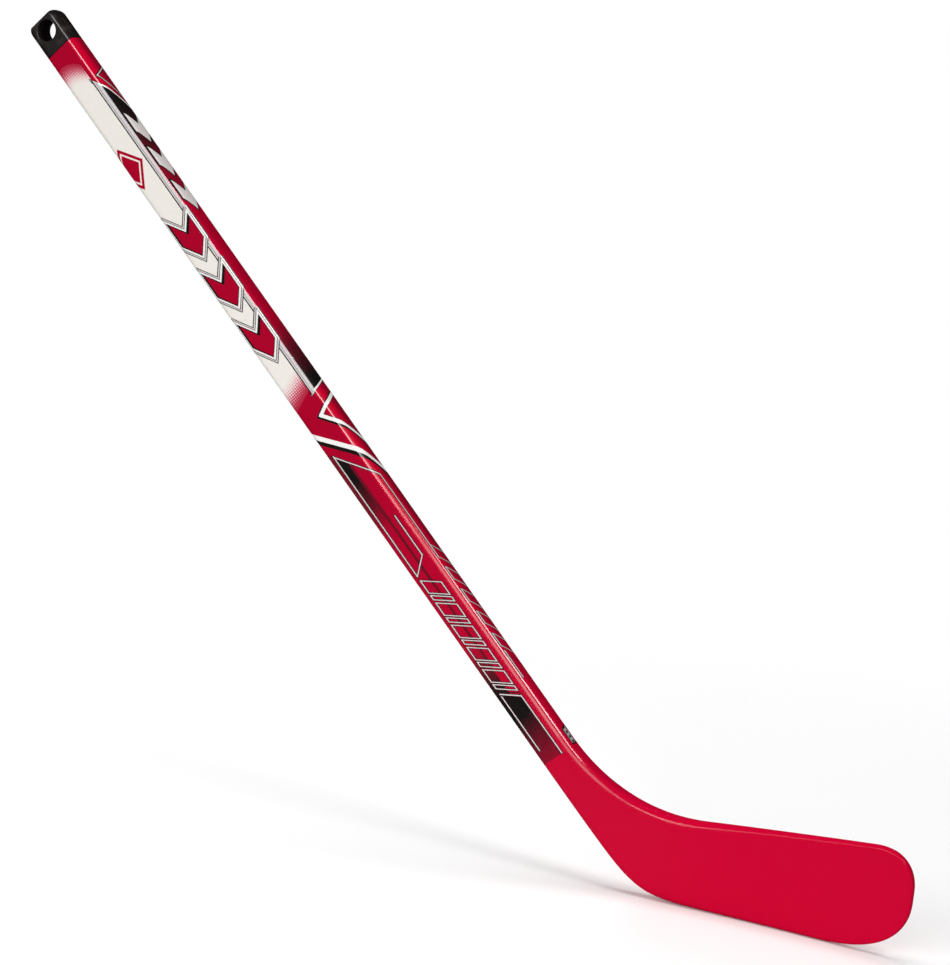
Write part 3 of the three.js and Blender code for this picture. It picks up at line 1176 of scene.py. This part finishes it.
@dataclass(frozen=True)
class FoilLabel:
    """Silver foil with a black frame and plain dark bars."""

    length_mm: float = SIZES.label_length / MM
    half_mm: float = SIZES.label_half / MM
    frame_mm: Pair = (0.9, 0.8)
    bar_turn: float = 1.9
    bar_half_mm: float = 1.5
    silver: tuple[Colour, Colour] = (srgb("b9b3b1"), srgb("8d8786"))
    bar_ink: Colour = srgb("1c1819")
    frame_ink: Colour = srgb("1a1415")

    def material(self) -> bpy.types.Material:
        """Bars across the label, read from its UV map.

        Returns:
            The finished material.
        """
        tree = Tree("foil_label", {"Specular IOR Level": 0.5})
        x, y = tree.unrolled_mm()
        half_length = self.length_mm / 2.0
        ends = abs(x - half_length) - half_length + self.frame_mm[0]
        edge = ends.most(abs(y) - self.half_mm + self.frame_mm[1])
        rows = 1.0 - (abs(y) - self.bar_half_mm).rise(-0.1, 0.1)
        bars = (x * self.bar_turn).math("SINE").rise(0.1, 0.3) * rows
        noise = tree.noise(tree.object_place(), 700.0, 4.0)
        colour = tree.blend(tree.blend(*self.silver, noise), self.bar_ink, bars)
        tree.feed("Base Color", tree.blend(colour, self.frame_ink, edge.rise(-0.1, 0.1)))
        tree.feed("Roughness", 0.3 + noise * 0.15)
        tree.bump(bars, 0.00002, 0.4)
        return tree.material


# ---- Sub-assemblies ----------------------------------------------------------------------------
def shaft_corner(along: Value) -> Value:
    """Corner radius along the shaft: it grows smoothly over the lower half."""
    return mix(SIZES.corner, SIZES.low_corner, smooth(along, *SIZES.corner_grows))


def shaft_rings(along: np.ndarray, inset: np.ndarray) -> np.ndarray:
    """Sections of the shaft: its own outline with every side drawn in by the same distance.

    Args:
        along: Distances from the butt end.
        inset: How far each section is drawn in.

    Returns:
        Rings by points by (across, through).
    """
    corner = np.maximum(shaft_corner(along) - inset, SMALLEST_CORNER)
    bow = np.full_like(corner, SIZES.bow)
    return Outline(SIZES.width / 2 - inset, SIZES.thickness / 2 - inset, corner, bow).points()


def shaft_grid(along: np.ndarray, inset: np.ndarray, ends: Ends) -> Grid:
    """A straight stretch of shaft-like rings.

    Args:
        along: Distances from the butt end.
        inset: How far each ring is drawn in.
        ends: How the stretch is closed.

    Returns:
        The closed surface.
    """
    rings = shaft_rings(along, inset)
    around = unrolled(rings)
    run = np.broadcast_to(along[:, None], around.shape)
    return Grid(SIZES.place(run, rings[..., 0], rings[..., 1]), run, around, ends)


@dataclass
class ShaftWrap:
    """The printed film on the tube: a thin sleeve from the cap to the hosel."""

    start: float = SIZES.collar + SIZES.seam
    end: float = SIZES.tube_end
    wall: float = 0.0004
    lip: float = 0.00015
    rings: int = 60

    def build(self, material: bpy.types.Material) -> bpy.types.Object:
        """Outer rings down to the hosel, then inner rings back, joined into one loop of rings.

        Args:
            material: Its finish.

        Returns:
            The finished piece.
        """
        outer = np.linspace(self.start + self.lip, self.end, self.rings)
        along = np.concatenate([[self.start], outer, outer[::-1], [self.start]])
        back = np.full(self.rings + 1, self.wall)
        inset = np.concatenate([[self.lip], np.zeros(self.rings), back])
        made = build("shaft_wrap", [shaft_grid(along, inset, Ends.LOOP)])
        made.data.materials.append(material)
        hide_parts("graphic_wrap")
        return made


@dataclass
class ButtCap:
    """The moulded cap: a collar round a hanging hole, and a tenon in the tube."""

    length: float = SIZES.collar
    end_corner: float = 0.0042
    end_edge: float = 0.0006
    dome: float = 0.0020
    inner_edge: float = 0.0002
    end_steps: tuple[int, int, int, int] = (10, 14, 12, 20)
    hole_radius: float = 0.0073
    hole_from_end: float = 0.0089
    rim: float = 0.0004
    tenon: float = 0.042
    tenon_inset: float = 0.003
    tenon_edge: float = 0.001
    levels: int = 28
    rim_steps: int = 7
    face_steps: int = 4
    hole_steps: int = 2

    def edge(self, level: np.ndarray, radius: float) -> np.ndarray:
        """How far an edge of that radius draws in at each depth: a quarter circle at both faces.

        Args:
            level: Depths from the middle of the thickness.
            radius: Radius of the edge.

        Returns:
            The distance drawn in at each depth.
        """
        half = SIZES.thickness / 2
        past = np.clip(np.abs(level) - (half - radius), 0.0, radius)
        return radius - np.sqrt(np.maximum(radius ** 2 - past ** 2, 0.0))

    def half_across(self, level: np.ndarray) -> np.ndarray:
        """Half of the collar's width at each depth, read off the shaft's own section.

        Args:
            level: Depths from the middle of the thickness.

        Returns:
            Half of the width at each depth.
        """
        ring = shaft_rings(np.array([self.length]), np.zeros(1))[0]
        toe_side = ring[ring[:, 0] > 0]
        order = np.argsort(toe_side[:, 1])
        depth, reach = toe_side[order, 1], toe_side[order, 0]
        keep = np.abs(depth) < SIZES.thickness / 2 - 1e-6
        end = reach[~keep].max()
        depth = np.concatenate([[-SIZES.thickness / 2], depth[keep], [SIZES.thickness / 2]])
        return np.interp(level, depth, np.concatenate([[end], reach[keep], [end]]))

    def outline(self, level: np.ndarray) -> np.ndarray:
        """The collar's outline at each depth, as (along, across), from the inner end round.

        Straight inner end, sides and butt end, with a quarter ellipse at each butt corner.

        Args:
            level: Depths from the middle of the thickness.

        Returns:
            Depths by points by (along, across).
        """
        side = self.half_across(level)[:, None]
        inner = self.length - self.edge(level, self.inner_edge)[:, None]
        bulge = self.dome * (1.0 - (level / (SIZES.thickness / 2)) ** 2)
        butt = (self.edge(level, self.end_edge) - bulge)[:, None]
        flat = SIZES.width / 2 - self.end_corner
        shares = (np.linspace(0, 1, n, endpoint=False)[None] for n in self.end_steps)
        up, run, arc, across = shares
        angle = 0.5 * np.pi * arc
        depth = self.end_corner - butt
        one = np.ones_like
        parts = [
            (inner * one(up), side * up),
            (mix(inner, self.end_corner, run), side * one(run)),
            (self.end_corner - depth * np.sin(angle), flat + (side - flat) * np.cos(angle)),
            (butt * one(across), mix(flat, -flat, across) * one(side)),
            (self.end_corner - depth * np.cos(angle), -flat - (side - flat) * np.sin(angle)),
            (mix(self.end_corner, inner, run), -side * one(run)),
            (inner * one(up), -side * (1.0 - up)),
        ]
        ring = np.stack([np.concatenate([p[i] for p in parts], axis=1) for i in (0, 1)], -1)
        return np.concatenate([ring, ring[:, :1]], axis=1)

    def collar(self) -> Grid:
        """The collar as loops of rings: through the hole, over its rim, out, round and back.

        Each loop is a mix of the hole's circle and the outline, at one depth.

        Returns:
            The closed surface.
        """
        half = SIZES.thickness / 2
        turn = np.linspace(0, 0.5 * np.pi, self.rim_steps)
        face = np.linspace(0, 1, self.face_steps + 2)[1:-1]
        level = half * np.sin(np.linspace(-0.5, 0.5, self.levels) * np.pi)
        wall = np.linspace(half - self.rim, -(half - self.rim), self.hole_steps + 2)[1:-1]
        front = -(half - self.rim) - self.rim * np.sin(turn)
        grow = self.rim * (1 - np.cos(turn))
        flat = np.full(self.face_steps, half)
        depth = np.concatenate([wall, front, -flat, level, flat, -front[::-1]])
        past_rim = np.full(self.levels + 2 * self.face_steps, self.rim)
        growth = np.concatenate([np.zeros_like(wall), grow, past_rim, grow[::-1]])
        radius = self.hole_radius + growth
        share = np.concatenate([np.zeros(self.hole_steps + self.rim_steps), face,
                                np.ones(self.levels), face[::-1], np.zeros(self.rim_steps)])
        shape = self.outline(np.clip(depth, -half, half))
        middle = self.outline(np.zeros(1))[0]
        angle = np.arctan2(middle[:, 1], middle[:, 0] - self.hole_from_end)
        hole = radius[:, None, None] * np.stack([np.cos(angle), np.sin(angle)], -1)
        hole += (self.hole_from_end, 0.0)
        spot = mix(hole, shape, share[:, None, None])
        run = np.broadcast_to(depth[:, None], spot.shape[:2])
        points = SIZES.place(spot[..., 0], spot[..., 1], run)
        return Grid(points[:, ::-1], spot[..., 0], spot[..., 1], Ends.LOOP)

    def build(self, material: bpy.types.Material) -> bpy.types.Object:
        """The collar and the tenon as one object.

        Args:
            material: Its finish.

        Returns:
            The finished piece.
        """
        tip = self.length + self.tenon
        foot = np.array([self.length - self.tenon_edge, tip - self.tenon_edge, tip])
        inset = self.tenon_inset + np.array([0.0, 0.0, self.tenon_edge])
        made = build("butt_cap", [self.collar(), shaft_grid(foot, inset, Ends.POLES)])
        made.data.materials.append(material)
        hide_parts("butt_end_cap")
        return made


@dataclass
class Blade:
    """Hosel, heel and blade as one lacquered shell round the core."""

    length: float = 0.1654
    tip_height: float = 0.042
    top_at_heel: float = 0.0552
    top_slope: float = 0.1
    flat_bottom: float = 0.100
    toe_top: float = 0.135
    toe_sharpness: float = 2.6
    toe_top_sharpness: float = 2.3
    inner_radius: float = 0.125
    heel_sharpness: float = 22.0
    curve_depth: float = 0.009
    curve_start: float = 0.005
    curve_power: float = 1.9
    wall: float = 0.0012
    turn_steps: int = 80
    blade_steps: int = 120
    hosel_steps: int = 8
    heel_corner: float = 0.0054
    hosel_end: float = -0.085
    thinning: tuple[Triple, ...] = (
        (-0.085, 0.005, 0.0062), (-0.010, 0.085, 0.0039), (0.060, 0.160, 0.0030))
    thinnest: float = 0.00002
    fullest_corner: float = 0.86
    fullest_bow: float = 0.3
    swing: np.ndarray = field(init=False)

    def __post_init__(self) -> None:
        """Works out the centre that the inner curve swings about."""
        lie = SIZES.lie
        edge_foot = SIZES.width / 2 / math.sin(lie)
        corner = (edge_foot * math.tan(lie) - self.top_at_heel) / (self.top_slope + math.tan(lie))
        tilt = math.atan(self.top_slope)
        bisector = (math.pi - lie + tilt) / 2
        reach = self.inner_radius / math.cos((lie + tilt) / 2)
        height = self.top_at_heel + self.top_slope * corner
        self.swing = np.array([corner + reach * math.cos(bisector),
                               height + reach * math.sin(bisector)])

    def toe_fall(self, x: np.ndarray, start: float, end: float, power: float) -> np.ndarray:
        """Quarter of a superellipse, from 1 at `start` to 0 at `end`.

        Args:
            x: Distances from the heel towards the toe.
            start: Where the quarter starts.
            end: Where it ends.
            power: Its exponent; 2 is an ellipse.

        Returns:
            The share that is left at each distance.
        """
        share = np.clip((x - start) / (end - start), 0.0, 1.0)
        return (1.0 - share ** power) ** (1.0 / power)

    def middle(self, x: np.ndarray) -> np.ndarray:
        """Where the middle of the thickness lies, curving towards the forehand side."""
        share = np.maximum(x - self.curve_start, 0.0) / (self.length - self.curve_start)
        return -self.curve_depth * share ** self.curve_power

    def half_thickness(self, x: np.ndarray) -> np.ndarray:
        """Half of the thickness: the shaft's at the hosel, thinner along the blade.

        Args:
            x: Distances from the heel towards the toe.

        Returns:
            Half of the thickness at each distance.
        """
        half = np.full_like(x, SIZES.thickness / 2)
        for start, end, value in self.thinning:
            half = mix(half, value, smooth(x, start, end))
        return half

    def chords(self, inset: float) -> tuple[np.ndarray, np.ndarray, np.ndarray]:
        """Lower and upper ends of the sections from the tube's end to the toe.

        The heel's outer edge is a soft minimum of the shaft's lower edge and the ice, and the toe
        is two quarter superellipses that meet at its tip.

        Args:
            inset: How far the outline is drawn in.

        Returns:
            The lower and the upper ends as (x, z) from the axis's foot, and how far along the
            stick each section stands.
        """
        lie, tilt = SIZES.lie, math.atan(self.top_slope)
        lean = np.linspace(lie, -tilt, self.turn_steps + 1)
        down = np.stack([-np.sin(lean), -np.cos(lean)], -1)
        to_edge = (self.inner_radius + SIZES.width) / np.cos(lie - lean)
        to_ice = self.swing[1] / np.cos(lean)
        power = self.heel_sharpness
        outer = ((to_edge / to_ice) ** -power + 1.0) ** (-1.0 / power) * to_ice
        low = self.swing + down * (outer - inset)[:, None]
        high = self.swing + down * (self.inner_radius + inset)
        shaft = np.array([math.cos(lie), -math.sin(lie)])
        turn_start = float((self.swing + down[0] * self.inner_radius) @ shaft)
        begin = SIZES.tube_end - SIZES.axis_length
        straight = np.linspace(begin, turn_start, self.hosel_steps)[:-1]
        across = down[0] * (SIZES.width / 2 - inset)
        low = np.concatenate([straight[:, None] * shaft + across, low])
        high = np.concatenate([straight[:, None] * shaft - across, high])
        share = np.sin(np.arange(1, self.blade_steps) / self.blade_steps * np.pi / 2)
        tip = self.length - inset
        low_x, high_x = mix(low[-1, 0], tip, share), mix(high[-1, 0], tip, share)
        low_fall = self.toe_fall(low_x, self.flat_bottom, tip, self.toe_sharpness)
        high_fall = self.toe_fall(high_x, self.toe_top, tip, self.toe_top_sharpness)
        sole = mix(self.tip_height, inset, low_fall)
        lift = (low[-1, 1] - inset) * (1.0 - share)
        line = self.top_at_heel + self.top_slope * high_x - inset
        top = mix(self.tip_height, line, high_fall)
        low = np.concatenate([low, np.stack([low_x, sole + lift], -1)])
        high = np.concatenate([high, np.stack([high_x, top], -1)])
        middle = (low + high) / 2
        steps = np.linalg.norm(np.diff(middle, axis=0), axis=1)
        return low, high, SIZES.tube_end + np.concatenate([[0.0], np.cumsum(steps)])

    def grid(self, inset: float) -> tuple[np.ndarray, np.ndarray, np.ndarray]:
        """Rings of the shell: outlines across the chords, set over to follow the blade's curve.

        Args:
            inset: How far every side is drawn in.

        Returns:
            The rings' points, and their distances along and around the stick.
        """
        low, high, along = self.chords(inset)
        half = np.linalg.norm(high - low, axis=1) / 2
        middle = (low + high) / 2
        across = (high - low) / (2 * half[:, None])
        x = middle[:, 0]
        full = self.half_thickness(x)
        near_tip = np.minimum((self.length - inset - x) / (full - inset), 1.0)
        thick = np.maximum((full - inset) * np.sqrt(1.0 - (1.0 - near_tip) ** 2), self.thinnest)
        corner = mix(shaft_corner(SIZES.tube_end), self.heel_corner, smooth(x, self.hosel_end, 0.0))
        corner = np.maximum(corner - inset, SMALLEST_CORNER)
        corner = np.minimum(corner, self.fullest_corner * np.minimum(thick, half))
        bow = np.minimum(SIZES.bow * thick / (SIZES.thickness / 2), self.fullest_bow * half)
        ring = Outline(half, thick, corner, bow).points()
        spot = middle[:, None] + ring[..., :1] * across[:, None]
        through = self.middle(spot[..., 0]) + ring[..., 1]
        points = np.stack([spot[..., 0], through, spot[..., 1]], -1)
        around = unrolled(ring)
        return points + SIZES.foot, np.broadcast_to(along[:, None], around.shape), around

    def build(self, material: bpy.types.Material) -> bpy.types.Object:
        """Outer rings to the toe and inner rings back, which leaves the hosel's mouth open.

        Args:
            material: Its finish.

        Returns:
            The finished piece.
        """
        outer, inner = self.grid(0.0), self.grid(self.wall)
        points, along, around = (np.concatenate([o, i[::-1]]) for o, i in zip(outer, inner))
        made = build("blade_shell", [Grid(points, along, around, Ends.LOOP)])
        made.data.materials.append(material)
        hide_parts("forehand_skin", "backhand_skin", "blade_edge_band")
        return made


@dataclass
class Label:
    """The small foil label on the toe-side narrow face of the hosel."""

    start: float = 0.604
    length: float = SIZES.label_length
    half: float = SIZES.label_half
    slant: float = 0.35
    lift: float = 0.00012
    base: float = 0.00002
    bend_from: float = 0.6127
    columns: int = 12
    rows: int = 16

    def build(self, material: bpy.types.Material) -> bpy.types.Object:
        """A thin slab that follows the bowed face: its top one way, its underside back.

        It lies on the narrow face's circle, and bends with the hosel's inner curve past
        `bend_from`.

        Args:
            material: Its finish.

        Returns:
            The finished piece.
        """
        corner = float(shaft_corner(self.start))
        inner = SIZES.thickness / 2 - corner
        inner_bow = SIZES.bow * (inner / (SIZES.thickness / 2)) ** 2
        radius = (inner ** 2 + inner_bow ** 2) / (2 * inner_bow) + corner
        sweep = np.linspace(-1, 1, self.columns)
        around = np.concatenate([sweep, sweep[::-1], sweep[:1]]) * self.half
        level = np.repeat([self.lift, self.base], self.columns)
        reach = radius + np.append(level, self.lift)
        share = np.linspace(0, 1, self.rows)[:, None]
        along = self.start + self.length * share - self.slant * (around + self.half) * (1 - share)
        bend = np.maximum(along - self.bend_from, 0.0) ** 2 / (2 * Blade.inner_radius)
        across = SIZES.width / 2 - radius + reach * np.cos(around / radius) + bend
        points = SIZES.place(along, across, reach * np.sin(around / radius))
        spots = np.broadcast_to(around, along.shape)
        made = build("foil_label", [Grid(points, self.length * share * np.ones_like(spots), spots)])
        made.data.materials.append(material)
        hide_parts("spec_label")
        return made


# ---- Stage -------------------------------------------------------------------------------------
class Lit(Enum):
    """What a light shows in: shading, reflections or both."""

    SHADING = "shading"
    REFLECTION = "reflection"
    BOTH = "both"


@dataclass
class Studio:
    """Camera, pale floor and soft lights."""

    eye: Pair = (1.1604, -1.8722)
    eye_height: float = 0.0827
    turn: float = math.radians(23.88)
    drop: float = math.radians(8.80)
    roll: float = math.radians(6.6)
    lens: float = 118.1
    sensor: float = 36.0
    floor_radius: float = 1.0
    floor_middle: Pair = (0.52, 0.0)
    floor_rings: int = 4
    floor_sides: int = 96
    floor_fades: Pair = (0.1, 0.95)
    floor_white: float = 0.93
    ambient: float = 0.2

    def camera(self) -> None:
        """A long lens in front and to the right, tipped over a little."""
        level = math.cos(self.drop)
        back = Vector((math.sin(self.turn) * level, -math.cos(self.turn) * level,
                       math.sin(self.drop)))
        right = Vector((math.cos(self.turn), math.sin(self.turn), 0.0))
        up = back.cross(right)
        side = right * math.cos(self.roll) + up * math.sin(self.roll)
        top = up * math.cos(self.roll) - right * math.sin(self.roll)
        data = bpy.data.cameras.new("camera")
        data.lens = self.lens
        data.sensor_width = self.sensor
        data.clip_end = 50.0
        made = bpy.data.objects.new("camera", data)
        turned = Matrix((side, top, back)).transposed().to_4x4()
        made.matrix_world = Matrix.Translation((*self.eye, self.eye_height)) @ turned
        bpy.context.scene.collection.objects.link(made)
        bpy.context.scene.camera = made

    def floor(self) -> None:
        """A pale disc under the blade that fades out into the backdrop."""
        angle = np.linspace(0, 2 * np.pi, self.floor_sides, endpoint=False)
        reach = np.linspace(0.05, 1, self.floor_rings)[:, None] * self.floor_radius
        level = np.zeros((self.floor_rings, self.floor_sides))
        spots = np.stack([reach * np.cos(angle), reach * np.sin(angle), level], -1)
        side = np.arange(self.floor_sides)
        ring = np.arange(self.floor_rings - 1)[:, None] * self.floor_sides
        after = (side + 1) % self.floor_sides
        quads = np.stack([ring + self.floor_sides + side, ring + self.floor_sides + after,
                          ring + after, ring + side], -1)
        mesh = bpy.data.meshes.new("floor")
        mesh.from_pydata(spots.reshape(-1, 3).tolist(), [],
                         [side.tolist(), *quads.reshape(-1, 4).tolist()])
        made = bpy.data.objects.new("floor", mesh)
        made.location = (*self.floor_middle, float(SIZES.foot[2]) - SIZES.floor_gap)
        bpy.context.scene.collection.objects.link(made)
        white = (self.floor_white, self.floor_white, self.floor_white, 1.0)
        tree = Tree("floor_paint", {"Base Color": white, "Roughness": 0.9,
                                    "Specular IOR Level": 0.0})
        inputs = {0: tree.object_place()}
        distance = tree.number("ShaderNodeVectorMath", {"operation": "LENGTH"}, inputs, "Value")
        tree.feed("Alpha", 1.0 - (distance / self.floor_radius).rise(*self.floor_fades))
        mesh.materials.append(tree.material)
        made.visible_glossy = False

    def light(self, name: str, place: Triple, aim: Triple, size: Pair, power: float,
              shows: Lit = Lit.BOTH) -> None:
        """One rectangular soft light that faces a point, its length running with the shaft.

        Args:
            name: The light's name.
            place: Where its middle is.
            aim: The point it faces.
            size: Its length and breadth.
            power: Its power in watts.
            shows: What it shows in.
        """
        data = bpy.data.lights.new(name, "AREA")
        data.shape = "RECTANGLE"
        data.size, data.size_y = size
        data.energy = power
        made = bpy.data.objects.new(name, data)
        away = (Vector(place) - Vector(aim)).normalized()
        length = Vector(SIZES.along)
        length = (length - away * length.dot(away)).normalized()
        turned = Matrix((length, away.cross(length), away)).transposed().to_4x4()
        made.matrix_world = Matrix.Translation(place) @ turned
        made.visible_camera = False
        made.visible_diffuse = shows is not Lit.REFLECTION
        made.visible_glossy = shows is not Lit.SHADING
        bpy.context.scene.collection.objects.link(made)

    def lights(self) -> None:
        """Front, top and back light for the shading, and the strips that the lacquer reflects."""
        shaft, low = (0.21, 0.0, -0.20), (0.36, 0.0, -0.35)
        self.light("front_softbox", (-0.10, -1.93, 0.13), shaft, (1.35, 1.15), 26.0, Lit.SHADING)
        self.light("top_softbox", (-0.15, 0.2, 2.2), shaft, (1.5, 1.6), 42.0, Lit.SHADING)
        self.light("back_softbox", (-1.2, 2.3, 0.6), shaft, (0.9, 1.1), 24.0, Lit.SHADING)
        self.light("front_strip", (-0.138, -1.93, 0.484), shaft, (0.81, 0.7), 13.5, Lit.REFLECTION)
        self.light("band_softbox", (0.806, -1.73, 0.556), low, (0.6, 1.3), 5.2)
        self.light("edge_glint", (1.42, -0.40, 1.05), low, (0.32, 0.55), 5.0)
        self.light("toe_glint", (2.1, -0.27, -0.04), (0.66, 0.0, -0.42), (0.3, 0.3), 1.5)

    def backdrop(self) -> None:
        """White to the camera, dim and even to the shading, and dark to the reflections."""
        world = bpy.data.worlds.new("backdrop")
        world.use_nodes = True
        tree, white = Nodes(world.node_tree), (1.0, 1.0, 1.0, 1.0)
        path = tree.add("ShaderNodeLightPath").outputs
        strengths = {0: path["Is Camera Ray"]}
        ambient = Number(tree, path["Is Diffuse Ray"]) * self.ambient
        for index, strength in ((1, ambient), (2, 1.0)):
            inputs = {"Color": white, "Strength": strength}
            strengths[index] = tree.add("ShaderNodeBackground", {}, inputs).outputs[0]
        either = tree.add("ShaderNodeMixShader", {}, strengths)
        out = next(n for n in tree.nodes if n.type == "OUTPUT_WORLD")
        tree.links.new(either.outputs[0], out.inputs["Surface"])
        bpy.context.scene.world = world
        bpy.context.scene.view_settings.view_transform = "Standard"

    def build(self) -> None:
        """Sets the whole stage."""
        self.camera()
        self.floor()
        self.lights()
        self.backdrop()


def dress_inner_nodes() -> None:
    """Gives the hidden pieces, which keep their own shapes, their finishes."""
    foam = Cellular("rigid_foam", srgb("ddd6c4"), srgb("b9b09a"), scale=900.0,
                    rough=0.95).material()
    resin = Cellular("glass_filled_resin", srgb("6d6a55"), srgb("8a8770"), scale=1400.0,
                     rough=0.65).material()
    finishes = {
        "shaft_tube": Laminate().material(),
        "tube_foam_plug": foam,
        "blade_foam_core": foam,
        "hosel": resin,
    }
    for node, material in finishes.items():
        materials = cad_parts[node].data.materials
        for index in range(max(len(materials), 1)):
            if index < len(materials):
                materials[index] = material
            else:
                materials.append(material)
        LOG.info("dressed %s", node)


def main() -> None:
    """Builds the stage and every visible piece."""
    logging.basicConfig(level=logging.INFO, format="%(name)s: %(message)s")
    Studio().build()
    lacquer = PrintedLacquer().material()
    pieces = [
        ButtCap().build(MouldedPlastic().material()),
        ShaftWrap().build(lacquer),
        Blade().build(lacquer),
        Label().build(FoilLabel().material()),
    ]
    for piece in pieces:
        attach(piece, BODY)
        LOG.info("%s: %d faces", piece.name, len(piece.data.polygons))
    dress_inner_nodes()


if __name__ == "__main__":
    main()
